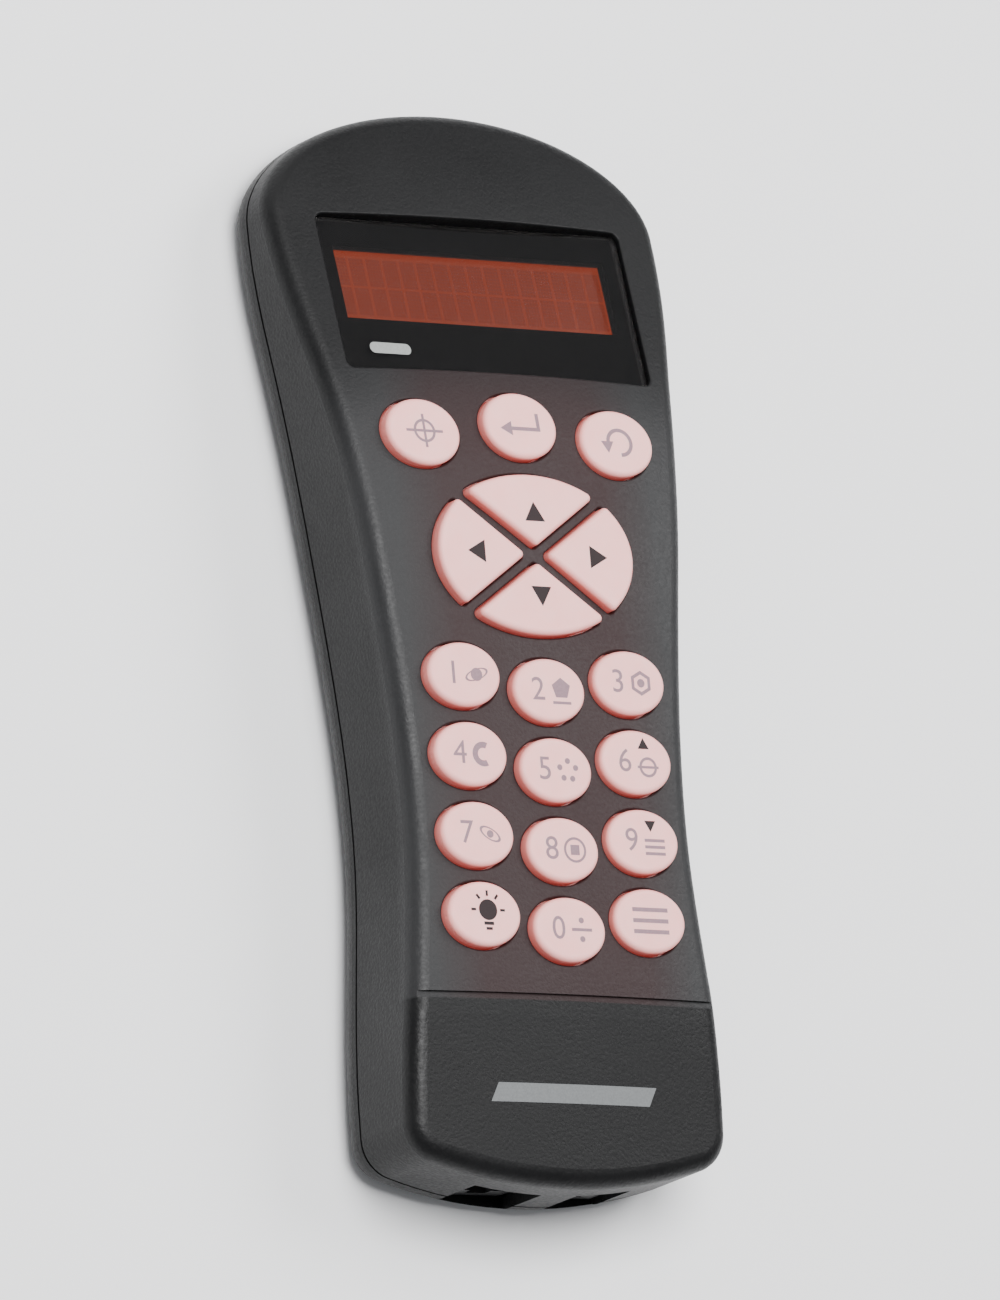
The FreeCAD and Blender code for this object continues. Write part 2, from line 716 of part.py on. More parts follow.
def lcd_backlight():
    """Light-guide block behind the glass."""
    width, height = lcd_inner_size()
    high = lcd_top - lcd_frame_sheet - lcd_glass_depth
    guide = block(0, view_offset, lcd_board_top, high, width, height - 2 * backlight_inset, backlight_corner)
    return in_display(guide)


def lcd_contact_strips():
    """Rubber strips that join the glass's contacts to the board."""
    width, height = lcd_inner_size()
    high = lcd_top - lcd_frame_sheet - lcd_glass_depth
    y = height / 2 - strip_inset - strip_width / 2
    length = width - 2 * strip_end_inset
    strips = [block(0, view_offset + side * y, lcd_board_top, high, length, strip_width) for side in (-1, 1)]
    return in_display(Part.makeCompound(strips))


def lcd_board():
    low, high = lcd_board_bottom, lcd_board_top
    plate = block(0, view_offset, low, high, lcd_board_width, lcd_board_height, lcd_board_corner)
    holes = [post(x, y, low, high, lcd_screw[0] + shank_clearance) for x, y in lcd_posts()]
    return in_display(plate.cut(holes + lcd_tabs(low, high, lcd_gap)))


def lcd_driver_chips():
    """Two flat driver chips under the display's board."""
    x, y = driver_chip_place[0], view_offset + driver_chip_place[1]
    low = lcd_board_bottom - driver_chip[2]
    chips = [
        block(side * x, y, low, lcd_board_bottom, driver_chip[0], driver_chip[1], chip_corner)
        for side in (-1, 1)
    ]
    return in_display(Part.makeCompound(chips))


def lcd_screws():
    screws = [screw(x, y, lcd_board_bottom, lcd_screw) for x, y in lcd_posts()]
    return in_display(Part.makeCompound(screws))


# ---------------------------------------------------------------- keypad and main board

def keypad_mat():
    """Silicone sheet under the keys, with a thin raised web round each stem."""
    low, high = board_top, board_top + mat_thickness
    start = groove_y + groove_width
    reach = block(0, (start + board_head) / 2, low, high, head_width, board_head - start)
    sheet = column(wall + board_inset + mat_inset, low, high).common(reach)
    edge = web_width - stem_inset + stem_gap
    webs = [key.prism(edge, high, high + web_height) for key in keys]
    holes = [key.prism(stem_gap - stem_inset, low, high + web_height) for key in keys]
    holes += [post(x, y, low, high, board_post_radius + post_gap) for x, y in board_posts()]
    lamp_hole = (lamp_size[0] + 2 * lamp_gap, lamp_size[1] + 2 * lamp_gap)
    holes += [block(x, y, low, high, lamp_hole[0], lamp_hole[1]) for x, y in lamp_places()]
    holes += [post(key.x, key.y, low, high, pill_radius + pill_gap) for key in keys]
    return sheet.fuse(webs).cut(holes).removeSplitter()


def main_board():
    """Circuit board that follows the case's outline, screwed to the front shell's posts."""
    middle, length = (board_head + board_tail) / 2, board_head - board_tail
    reach = block(0, middle, board_bottom, board_top, head_width, length)
    plate = column(wall + board_inset, board_bottom, board_top).common(reach)
    holes = [post(x, y, board_bottom, board_top, board_screw[0] + shank_clearance) for x, y in board_posts()]
    holes += [post(x, y, board_bottom, board_top, case_post_radius + post_gap) for x, y in case_posts()]
    return plate.cut(holes)


def contact_pads():
    """A split disc of gold under each key's pill."""
    pads = []
    for key in keys:
        disc = post(key.x, key.y, board_top, board_top + pad_thickness, pad_radius)
        slit = block(key.x, key.y, board_top, board_top + pad_thickness, pad_split, pad_radius * 3)
        pads += disc.cut(slit).Solids
    return Part.makeCompound(pads)


def key_lamps():
    size_x, size_y, height = lamp_size
    top = board_top + height
    return Part.makeCompound([block(x, y, board_top, top, size_x, size_y) for x, y in lamp_places()])


def chip(x, y, size_x, size_y, legs_x, legs_y, pitch):
    """Flat chip under the main board, with a row of legs on each side that has any."""
    body = block(x, y, board_bottom - chip_height, board_bottom - chip_lift, size_x, size_y, chip_corner)
    out = leg_reach / 2 - leg_overlap
    low = board_bottom - leg_height
    legs = []
    for count, along_x in ((legs_x, True), (legs_y, False)):
        for number in range(count):
            offset = (number - (count - 1) / 2) * pitch
            for side in (-1, 1):
                if along_x:
                    leg_y = y + side * (size_y / 2 + out)
                    legs.append(block(x + offset, leg_y, low, board_bottom, leg_width, leg_reach))
                else:
                    leg_x = x + side * (size_x / 2 + out)
                    legs.append(block(leg_x, y + offset, low, board_bottom, leg_reach, leg_width))
    return body.fuse(legs)


def controller_chip():
    y = grid_y - grid_pitch_y
    return chip(0, y, controller_size, controller_size, controller_legs, controller_legs, controller_pitch)


def memory_chip():
    return chip(memory_x, dpad_y, memory_size[0], memory_size[1], 0, memory_legs, memory_pitch)


def crystal():
    size_x, size_y, height = crystal_size
    ends = size_x / 2 - chip_lift
    can = block(crystal_x, grid_y - grid_pitch_y, board_bottom - height, board_bottom, size_x, size_y, ends)
    lid = [e for e in can.Edges if e.BoundBox.ZMax < board_bottom - height + crystal_round]
    return can.makeFillet(crystal_round, lid)


def board_capacitors():
    """Two upright capacitors under the board, beside the sockets' end."""
    y = groove_y + capacitor_from_groove
    low = board_bottom - capacitor_height
    return Part.makeCompound([
        post(side * capacitor_x, y, low, board_bottom, capacitor_radius) for side in (-1, 1)
    ])


def board_resistors():
    """Two rows of small blocks under the board, beside the direction pad."""
    size_x, size_y, height = resistor_size
    rows = []
    for side in (-1, 1):
        for number in range(resistor_count):
            y = dpad_y - resistors_below_dpad - number * resistor_pitch
            rows.append(block(side * resistor_x, y, board_bottom - height, board_bottom, size_x, size_y))
    return Part.makeCompound(rows)


def board_screws():
    return Part.makeCompound([screw(x, y, board_bottom, board_screw) for x, y in board_posts()])


def ribbon_connector():
    size_x, size_y, height = connector_size
    shell = block(0, connector_y, board_bottom - height, board_bottom, size_x, size_y, connector_corner)
    low = board_bottom - height / 2 - ribbon_slot / 2
    slot_width = ribbon_width + 2 * ribbon_slot_gap
    slot = block(0, connector_y + size_y / 2, low, low + ribbon_slot, slot_width, 2 * ribbon_slot_depth)
    return shell.cut(slot)


def display_ribbon():
    """Flat cable from the main board's connector, down and round to the back of the display's board."""
    middle = board_bottom - connector_size[2] / 2
    landing_y = view_offset - lcd_board_height / 2 + landing_from_edge
    landing = in_display(Part.Vertex(0, landing_y, lcd_board_bottom - ribbon_thickness)).Point
    along = Vector(0, math.cos(tilt), -math.sin(tilt))
    mouth = Vector(0, connector_y + connector_size[1] / 2, middle)
    points = [mouth + Vector(0, out, rise) for out, rise in ribbon_from_mouth]
    points += [landing - along * back + Vector(0, 0, rise) for back, rise in ribbon_to_landing]
    centre = Part.BSplineCurve()
    centre.interpolate(Points=points, InitialTangent=Vector(0, 1, 0), FinalTangent=along)
    count = 24
    sides = {1: [], -1: []}
    for number in range(count + 1):
        at = centre.FirstParameter + (centre.LastParameter - centre.FirstParameter) * number / count
        heading = centre.tangent(at)[0]
        across = Vector(0, -heading.z, heading.y) * (ribbon_thickness / 2)
        for side in sides:
            sides[side].append(centre.value(at) + across * side)
    edges = []
    for side, turned in ((1, False), (-1, True)):
        curve = Part.BSplineCurve()
        curve.interpolate(Points=list(reversed(sides[side])) if turned else sides[side])
        edges.append(curve.toShape())
    closing = [
        Part.LineSegment(sides[1][-1], sides[-1][-1]).toShape(),
        Part.LineSegment(sides[-1][0], sides[1][0]).toShape(),
    ]
    strip = Part.Face(Part.Wire([edges[0], closing[0], edges[1], closing[1]]))
    solid = strip.extrude(Vector(ribbon_width, 0, 0))
    solid.translate(Vector(-ribbon_width / 2, 0, 0))
    return solid


# ---------------------------------------------------------------- sockets

def socket_front():
    return tail_end + socket_from_tail


def plug_space(x, width):
    """Hollow of a socket: the plug's space, and the latch's channel under it."""
    high = board_bottom - plug_top_wall
    front = socket_front()
    inner = width - 2 * plug_side_wall
    middle = front + (plug_space_depth - socket_from_tail) / 2
    depth = plug_space_depth + socket_from_tail
    roof, floor = high - plug_height, high - plug_height - latch_height
    space = block(x, middle, roof, high, inner, depth)
    return space.fuse(block(x, middle, floor, roof, latch_width, depth))


def socket_housing(x, width, count):
    """Moulded socket under the tail of the board, open towards the tail."""
    front = socket_front()
    middle = front + socket_depth / 2
    low = board_bottom - socket_height
    shell = block(x, middle, low, board_bottom, width, socket_depth, socket_corner)
    channels = []
    size = (contact_width + 2 * contact_channel_gap, socket_depth - contact_channel_start)
    low, high = board_bottom - plug_top_wall - contact_width / 4, board_bottom - contact_roof
    for number in range(count):
        contact_x = x + (number - (count - 1) / 2) * contact_pitch
        channels.append(block(contact_x, middle + contact_channel_start / 2, low, high, size[0], size[1]))
    return shell.cut([plug_space(x, width)] + channels).removeSplitter()


def socket_contacts(x, count):
    """Spring wires: along the roof of the socket, round at its mouth, and slanting back into it."""
    roof = board_bottom - contact_roof - contact_width
    front = socket_front() + contact_mouth
    back = socket_front() + socket_depth - contact_back
    droop = board_bottom - plug_top_wall - contact_droop
    tip = back - contact_tip_back
    path = [
        Vector(0, back, roof),
        Vector(0, back, roof + contact_width),
        Vector(0, front, roof + contact_width),
        Vector(0, front - contact_width, roof + contact_width / 2),
        Vector(0, front, roof - contact_width / 2),
        Vector(0, tip, droop - contact_width),
        Vector(0, tip, droop),
        Vector(0, front + 2 * contact_width, roof),
        Vector(0, back, roof),
    ]
    wires = []
    for number in range(count):
        wire = Part.Face(Part.makePolygon(path)).extrude(Vector(contact_width, 0, 0))
        contact_x = x + (number - (count - 1) / 2) * contact_pitch
        wire.translate(Vector(contact_x - contact_width / 2, 0, 0))
        wires.append(wire)
    return Part.makeCompound(wires)


# ---------------------------------------------------------------- build and write

os.makedirs("parts", exist_ok=True)
outer_body = case_body(0, face_edge_round, back_edge_round)
inner_body = case_body(wall, 0, back_edge_round - wall)
pieces = {
    "front_shell": front_shell(outer_body, inner_body),
    "back_shell": back_shell(outer_body, inner_body),
    "case_screws": case_screws(),
    "display_window": display_window(),
    "window_tape": window_tape(),
    "lcd_frame": lcd_frame(),
    "lcd_glass": lcd_glass(),
    "lcd_backlight": lcd_backlight(),
    "lcd_contact_strips": lcd_contact_strips(),
    "lcd_board": lcd_board(),
    "lcd_driver_chips": lcd_driver_chips(),
    "lcd_screws": lcd_screws(),
    "keypad_mat": keypad_mat(),
    "main_board": main_board(),
    "contact_pads": contact_pads(),
    "key_lamps": key_lamps(),
    "controller_chip": controller_chip(),
    "memory_chip": memory_chip(),
    "crystal": crystal(),
    "board_capacitors": board_capacitors(),
    "board_resistors": board_resistors(),
    "board_screws": board_screws(),
    "ribbon_connector": ribbon_connector(),
    "display_ribbon": display_ribbon(),
}
for socket_name, socket_x, socket_width, contact_count in sockets():
    pieces[socket_name + "_socket"] = socket_housing(socket_x, socket_width, contact_count)
    pieces[socket_name + "_contacts"] = socket_contacts(socket_x, contact_count)
for key in keys:
    pieces[key.name] = Part.makeCompound(key_solids(key))
for node, shape in pieces.items():
    shape.exportStep("parts/" + node + ".step")
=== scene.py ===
import math
import bpy
from mathutils import Matrix, Vector


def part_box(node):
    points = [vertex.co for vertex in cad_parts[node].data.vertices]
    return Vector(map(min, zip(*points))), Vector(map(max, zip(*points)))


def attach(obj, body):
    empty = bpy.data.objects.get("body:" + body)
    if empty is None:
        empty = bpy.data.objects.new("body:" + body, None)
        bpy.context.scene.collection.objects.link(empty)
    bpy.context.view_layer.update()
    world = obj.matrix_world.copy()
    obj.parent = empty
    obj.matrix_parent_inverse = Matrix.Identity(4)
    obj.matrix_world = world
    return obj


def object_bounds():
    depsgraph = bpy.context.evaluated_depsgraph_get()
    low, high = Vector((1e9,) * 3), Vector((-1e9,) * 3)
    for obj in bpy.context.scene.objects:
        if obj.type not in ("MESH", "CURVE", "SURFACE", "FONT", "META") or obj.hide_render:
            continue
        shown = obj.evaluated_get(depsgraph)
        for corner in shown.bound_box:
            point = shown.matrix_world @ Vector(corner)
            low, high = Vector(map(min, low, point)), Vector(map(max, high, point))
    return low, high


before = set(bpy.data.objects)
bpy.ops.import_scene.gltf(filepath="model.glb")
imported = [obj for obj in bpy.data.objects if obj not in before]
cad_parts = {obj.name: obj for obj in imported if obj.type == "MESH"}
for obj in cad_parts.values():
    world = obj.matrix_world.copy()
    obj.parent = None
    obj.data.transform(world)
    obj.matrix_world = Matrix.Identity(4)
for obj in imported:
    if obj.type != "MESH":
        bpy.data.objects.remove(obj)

cad_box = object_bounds()
mm = 0.001

# ---- camera ----
# It looks down on the keys from the left and a little from the tail end, turned so that the
# controller stands upright in the picture. A long lens from far off keeps the sides parallel.
look_from = Vector((-0.528, -0.220, 0.820)).normalized()
upright = Vector((0.0, 0.987, 0.158))
camera_distance = 3.0
picture_height = 232 * mm
low, high = cad_box
middle = (low + high) / 2
camera_data = bpy.data.cameras.new("camera")
camera = bpy.data.objects.new("camera", camera_data)
bpy.context.collection.objects.link(camera)
bpy.context.scene.camera = camera
camera_data.sensor_width = 36.0
camera_data.lens = camera_data.sensor_width * camera_distance / picture_height
camera_data.clip_start, camera_data.clip_end = 0.1, 20.0
right = upright.cross(look_from).normalized()
above = look_from.cross(right)
turn = Matrix((right, above, look_from)).transposed()
camera.matrix_world = Matrix.Translation(middle + look_from * camera_distance) @ turn.to_4x4()


# ---- table top ----
# A pale matt laminate top, very slightly mottled, which the controller lies on with its flat back.
def colour(hex_value):
    """Linear RGBA from an sRGB hex string."""
    channels = [int(hex_value[i:i + 2], 16) / 255 for i in (1, 3, 5)]
    return tuple(c / 12.92 if c <= 0.04045 else ((c + 0.055) / 1.055) ** 2.4 for c in channels) + (1.0,)


def settle(node, values):
    """Give a node its settings: a property, an input's value, or a link from another node's output."""
    for name, value in values.items():
        if isinstance(value, bpy.types.Node):
            value = next(output for output in value.outputs if output.enabled)
        if isinstance(value, bpy.types.NodeSocket):
            node.id_data.links.new(node.inputs[name], value)
        elif name in node.bl_rna.properties.keys():
            setattr(node, name, value)
        else:
            if isinstance(value, str) and value.startswith("#"):
                value = colour(value)
            node.inputs[name].default_value = value
    return node


def add_node(material, kind, values):
    """Add a node to a material, with its settings and links."""
    return settle(material.node_tree.nodes.new("ShaderNode" + kind), values)


def new_material(name, values):
    """A Principled material, with what is the same all over set on the shader's own sockets."""
    material = bpy.data.materials.new(name)
    material.use_nodes = True
    settle(material.node_tree.nodes["Principled BSDF"], values)
    return material


def finish(material, values):
    """Link a material's patterns into its shader."""
    settle(material.node_tree.nodes["Principled BSDF"], values)


table_width = 12.0
mottle_size = 60 * mm
laminate = new_material("pale_matt_laminate", {"Roughness": 0.8})
place = add_node(laminate, "TexCoord", {}).outputs["Object"]
mottle = add_node(laminate, "TexNoise", {"Scale": 1 / mottle_size, "Detail": 3.0, "Vector": place})
finish(laminate, {"Base Color": add_node(laminate, "Mix", {
    "data_type": "RGBA", "Factor": mottle, "A": "#F1F1F2", "B": "#F5F5F6"})})
bpy.ops.object.select_all(action="DESELECT")
bpy.ops.mesh.primitive_plane_add(size=table_width, location=(0, 0, low.z))
floor = bpy.context.object
floor.name = "table_top"
floor.data.materials.append(laminate)

# ---- lamps ----
# Soft studio light: a pale room all round, a large lamp nearly over the keys that also catches the
# rounded left edge, a weaker one from the right, and one past the display end for the rim.
world = bpy.data.worlds.new("studio")
world.use_nodes = True
room = world.node_tree.nodes["Background"]
room.inputs["Color"].default_value = colour("#F2F4F8")
room.inputs["Strength"].default_value = 0.36
bpy.context.scene.world = world


def soft_lamp(name, way, distance, size, watts):
    """A round lamp that faces the controller's middle, from a way and a distance."""
    lamp = bpy.data.lights.new(name, "AREA")
    lamp.shape = "DISK"
    lamp.size = size
    lamp.energy = watts
    holder = bpy.data.objects.new(name, lamp)
    bpy.context.collection.objects.link(holder)
    way = Vector(way).normalized()
    facing = way.to_track_quat("Z", "Y").to_matrix().to_4x4()
    holder.matrix_world = Matrix.Translation(middle + way * distance) @ facing


soft_lamp("main_lamp", (-0.22, 0.12, 1.0), 1.2, 0.7, 26.0)
soft_lamp("side_lamp", (0.75, 0.35, 0.9), 1.3, 0.8, 12.0)
soft_lamp("rim_lamp", (-0.35, 1.2, 0.45), 1.2, 1.3, 6.0)


# ---- case shells ----
# Two shells moulded in charcoal ABS. The mould is spark-eroded, so the skin has a fine pebble
# grain that breaks the light into a soft satin. The panel round the keys is paler than the brow
# and the tail, and round the keys it is painted red, as painted glow of the keypad's red light.
def dress(material, *nodes):
    """Put one material on CAD nodes."""
    for node in nodes:
        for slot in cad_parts[node].material_slots:
            slot.material = material


key_low, key_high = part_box("key_0")[0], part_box("key_enter")[1]
panel_start = key_low.y - 6.0 * mm          # the groove across the face
panel_step = 0.5 * mm
panel_fade = (key_high.y - 8 * mm, key_high.y + 26 * mm)    # past the top row, up to the brow
face_fade = (high.z - 9 * mm, high.z - 5 * mm)              # from the side walls to the face
key_glow_fade = (17 * mm, 27 * mm)          # out from the middle, past the outer keys
pebble_size = 0.6 * mm                      # about twice the real grain, so that it shows
cloud_size = 22 * mm
abs_plastic = new_material("spark_eroded_abs", {"IOR": 1.53, "Specular IOR Level": 0.2})
place = add_node(abs_plastic, "TexCoord", {}).outputs["Object"]
pebbles = add_node(abs_plastic, "TexNoise", {"Scale": 1 / pebble_size, "Detail": 3.0, "Vector": place})
clouds = add_node(abs_plastic, "TexNoise", {"Scale": 1 / cloud_size, "Detail": 4.0, "Vector": place})
split = add_node(abs_plastic, "SeparateXYZ", {"Vector": place})
past_groove = add_node(abs_plastic, "MapRange", {
    "Value": split.outputs["Y"], "From Min": panel_start, "From Max": panel_start + panel_step})
short_of_brow = add_node(abs_plastic, "MapRange", {
    "Value": split.outputs["Y"], "From Min": panel_fade[0], "From Max": panel_fade[1],
    "To Min": 1.0, "To Max": 0.15})
on_face = add_node(abs_plastic, "MapRange", {
    "Value": split.outputs["Z"], "From Min": face_fade[0], "From Max": face_fade[1]})
panel = add_node(abs_plastic, "Math", {"operation": "MULTIPLY", 0: past_groove, 1: short_of_brow})
panel = add_node(abs_plastic, "Math", {"operation": "MULTIPLY", 0: panel, 1: on_face})
dark_tone = add_node(abs_plastic, "Mix", {
    "data_type": "RGBA", "Factor": clouds, "A": "#09090A", "B": "#0F0F10"})
off_middle = add_node(abs_plastic, "Math", {"operation": "ABSOLUTE", 0: split.outputs["X"]})
by_keys = add_node(abs_plastic, "MapRange", {
    "Value": off_middle, "From Min": key_glow_fade[0], "From Max": key_glow_fade[1],
    "To Min": 1.0, "To Max": 0.0})
grey_tone = add_node(abs_plastic, "Mix", {
    "data_type": "RGBA", "Factor": clouds, "A": "#212122", "B": "#29292A"})
# Painted glow: the keypad's red light is painted on the panel as a redder tone near the keys.
painted_red_glow_tone = add_node(abs_plastic, "Mix", {
    "data_type": "RGBA", "Factor": clouds, "A": "#211415", "B": "#2A1A1B"})
panel_tone = add_node(abs_plastic, "Mix", {
    "data_type": "RGBA", "Factor": by_keys, "A": grey_tone, "B": painted_red_glow_tone})
tone = add_node(abs_plastic, "Mix", {
    "data_type": "RGBA", "Factor": panel, "A": dark_tone, "B": panel_tone})
satin = add_node(abs_plastic, "MapRange", {
    "Value": pebbles, "From Min": 0.3, "From Max": 0.7, "To Min": 0.42, "To Max": 0.54})
handled = add_node(abs_plastic, "MapRange", {
    "Value": clouds, "From Min": 0.3, "From Max": 0.7, "To Min": -0.05, "To Max": 0.05})
satin = add_node(abs_plastic, "Math", {"operation": "ADD", 0: satin, 1: handled})
grain = add_node(abs_plastic, "Bump", {"Strength": 0.7, "Distance": 0.1 * mm, "Height": pebbles})
finish(abs_plastic, {"Base Color": tone, "Roughness": satin, "Normal": grain})
dress(abs_plastic, "front_shell", "back_shell")


# ---- keys ----
# Moulded silicone, milky pink-white, lit from behind by red lamps. The red light through the keys
# is painted as glow: a little on the tops, and more and redder on the rounded edges and sides,
# which run down to the lamps.
key_nodes = [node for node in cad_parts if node.startswith("key_") and node != "key_lamps"]
milk_size = 5 * mm
skin_size = 0.35 * mm
silicone = new_material("backlit_silicone", {
    "IOR": 1.41, "Roughness": 0.48, "Subsurface Weight": 0.4, "Subsurface Scale": 1.5 * mm,
    "Subsurface Radius": (1.0, 0.35, 0.3), "Emission Strength": 0.28})
place = add_node(silicone, "TexCoord", {}).outputs["Object"]
facing = add_node(silicone, "NewGeometry", {}).outputs["Normal"]
lean = add_node(silicone, "SeparateXYZ", {"Vector": facing})
# Painted glow: by their slope, the sides get a redder colour and a stronger red emission than the tops.
side = add_node(silicone, "MapRange", {
    "Value": lean.outputs["Z"], "From Min": 0.1, "From Max": 0.96, "To Min": 1.0, "To Max": 0.0})
milk = add_node(silicone, "TexNoise", {"Scale": 1 / milk_size, "Detail": 3.0, "Vector": place})
top_tone = add_node(silicone, "Mix", {
    "data_type": "RGBA", "Factor": milk, "A": "#F2ADA9", "B": "#F9BDB8"})
tone = add_node(silicone, "Mix", {"data_type": "RGBA", "Factor": side, "A": top_tone, "B": "#D9938C"})
glow = add_node(silicone, "Mix", {"data_type": "RGBA", "Factor": side, "A": "#8A4642", "B": "#E03A30"})
skin = add_node(silicone, "TexNoise", {"Scale": 1 / skin_size, "Detail": 2.0, "Vector": place})
grain = add_node(silicone, "Bump", {"Strength": 0.5, "Distance": 0.01 * mm, "Height": skin})
finish(silicone, {"Base Color": tone, "Emission Color": glow, "Normal": grain})
dress(silicone, *key_nodes)


# ---- key legends ----
# Ink put on the key tops with a soft pad: a digit and a plain sign, mauve-grey, and near black on
# the direction pad and the lamp key. Each legend is a film a few hundredths of a millimetre thick.
ink_thickness = 0.04 * mm
ink_step = 0.003 * mm        # each further shape of a legend lies this much higher
ink_speckle = 0.4 * mm
quarter = math.pi / 2


def new_ink(name, first, second, roughness, shine=0.3):
    """Printed ink, with the faint speckle that a pad leaves."""
    ink = new_material(name, {"Roughness": roughness, "Specular IOR Level": shine})
    place = add_node(ink, "TexCoord", {}).outputs["Object"]
    speckle = add_node(ink, "TexNoise", {"Scale": 1 / ink_speckle, "Detail": 2.0, "Vector": place})
    finish(ink, {"Base Color": add_node(ink, "Mix", {
        "data_type": "RGBA", "Factor": speckle, "A": first, "B": second})})
    return ink


pale_ink = new_ink("mauve_pad_ink", "#7A5F68", "#8F747C", 0.55)
dark_ink = new_ink("maroon_black_pad_ink", "#16070A", "#200C10", 0.6)


def top_plane(node, centre=None):
    """Frame on a node's flat top: x across, y along, z square to it, at its middle or above a point."""
    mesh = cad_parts[node].data
    peak = max(vertex.co.z for vertex in mesh.vertices)
    upper = [face for face in mesh.polygons if face.normal.z > 0.9 and peak - face.center.z < 3 * mm]
    widest = max(upper, key=lambda face: face.area)
    normal = widest.normal
    level = normal.dot(widest.center)
    flat = [face for face in mesh.polygons
            if abs(normal.dot(face.center) - level) < 0.01 * mm and face.normal.dot(normal) > 0.9999]
    origin = sum((face.center * face.area for face in flat), Vector()) / sum(face.area for face in flat)
    if centre:
        x, y = centre
        origin = Vector((x, y, (level - normal.x * x - normal.y * y) / normal.z))
    forward = normal.cross(Vector((1, 0, 0))).normalized()
    return Matrix.Translation(origin) @ Matrix((forward.cross(normal), forward, normal)).transposed().to_4x4()


def flat_disc(x, y, radius, sides=28, turn=0.0, stretch=1.0):
    """A flat disc, oval or polygon; sizes of the flat shapes are in millimetres."""
    bpy.ops.mesh.primitive_circle_add(vertices=sides, radius=radius * mm, fill_type="NGON")
    bpy.ops.transform.resize(value=(1, stretch, 1))
    bpy.ops.transform.rotate(value=-turn, orient_axis="Z", center_override=(0, 0, 0))
    disc = bpy.context.object
    disc.location = (x * mm, y * mm, 0)
    bpy.ops.object.transform_apply()
    return disc


def flat_ring(x, y, radius, width, sides=28, turn=0.0, stretch=1.0, keep=None):
    """A flat ring: a disc's face is inset and its middle taken out; keep(x, y) leaves part of it."""
    bpy.ops.mesh.primitive_circle_add(vertices=sides, radius=(radius + width / 2) * mm, fill_type="NGON")
    bpy.ops.object.mode_set(mode="EDIT")
    bpy.ops.mesh.select_all(action="SELECT")
    bpy.ops.mesh.inset(thickness=width * mm)
    bpy.ops.mesh.delete(type="FACE")
    bpy.ops.object.mode_set(mode="OBJECT")
    ring = bpy.context.object
    if keep:
        for face in ring.data.polygons:
            face.select = not keep(face.center.x / mm, face.center.y / mm)
        bpy.ops.object.mode_set(mode="EDIT")
        bpy.ops.mesh.delete(type="FACE")
        bpy.ops.object.mode_set(mode="OBJECT")
    ring.scale = (1, stretch, 1)
    bpy.ops.object.transform_apply()
    ring.rotation_euler = (0, 0, turn)
    ring.location = (x * mm, y * mm, 0)
    bpy.ops.object.transform_apply()
    return ring


def flat_bar(x, y, width, height, turn=0.0):
    """A flat oblong."""
    bpy.ops.mesh.primitive_plane_add(size=mm)
    bar = bpy.context.object
    bar.scale = (width, height, 1)
    bar.rotation_euler = (0, 0, turn)
    bar.location = (x * mm, y * mm, 0)
    bpy.ops.object.transform_apply()
    return bar


def flat_arrow(x, y, size, turn):
    """A filled triangle that points along turn."""
    return flat_disc(x, y, size, 3, turn - quarter)


def flat_digit(text, x, y, size):
    """A printed digit, made a mesh before its place is applied."""
    bpy.ops.object.text_add()
    digit = bpy.context.object
    digit.data.body = text
    digit.data.size = size * mm
    digit.data.align_x = "CENTER"
    digit.data.align_y = "CENTER"
    digit.data.resolution_u = 4
    bpy.ops.object.convert(target="MESH")
    digit.location = (x * mm, y * mm, 0)
    bpy.ops.object.transform_apply()
    return digit


def print_on(plane, name, shapes, ink, lift=0.01 * mm):
    """Join flat shapes into one film of ink and lay it on a plane."""
    bpy.ops.object.select_all(action="DESELECT")
    for number, shape in enumerate(shapes):
        shape.data.transform(Matrix.Translation((0, 0, number * ink_step)))
        shape.select_set(True)
        bpy.context.view_layer.objects.active = shape
    bpy.ops.object.join()
    film = bpy.context.object
    film.name = name
    bpy.ops.object.mode_set(mode="EDIT")
    bpy.ops.mesh.select_all(action="SELECT")
    bpy.ops.mesh.remove_doubles(threshold=0.001 * mm)
    bpy.ops.object.mode_set(mode="OBJECT")
    for face in film.data.polygons:
        face.select = face.normal.z < 0
    bpy.ops.object.mode_set(mode="EDIT")
    bpy.ops.mesh.flip_normals()
    bpy.ops.object.mode_set(mode="OBJECT")
    thicken = film.modifiers.new("film", "SOLIDIFY")
    thicken.thickness = ink_thickness
    thicken.offset = 1.0
    bpy.ops.object.modifier_apply(modifier=thicken.name)
    film.matrix_world = plane @ Matrix.Translation((0, 0, lift))
    bpy.ops.object.transform_apply()
    film.data.materials.clear()
    film.data.materials.append(ink)
    bpy.ops.object.select_all(action="DESELECT")
    return film


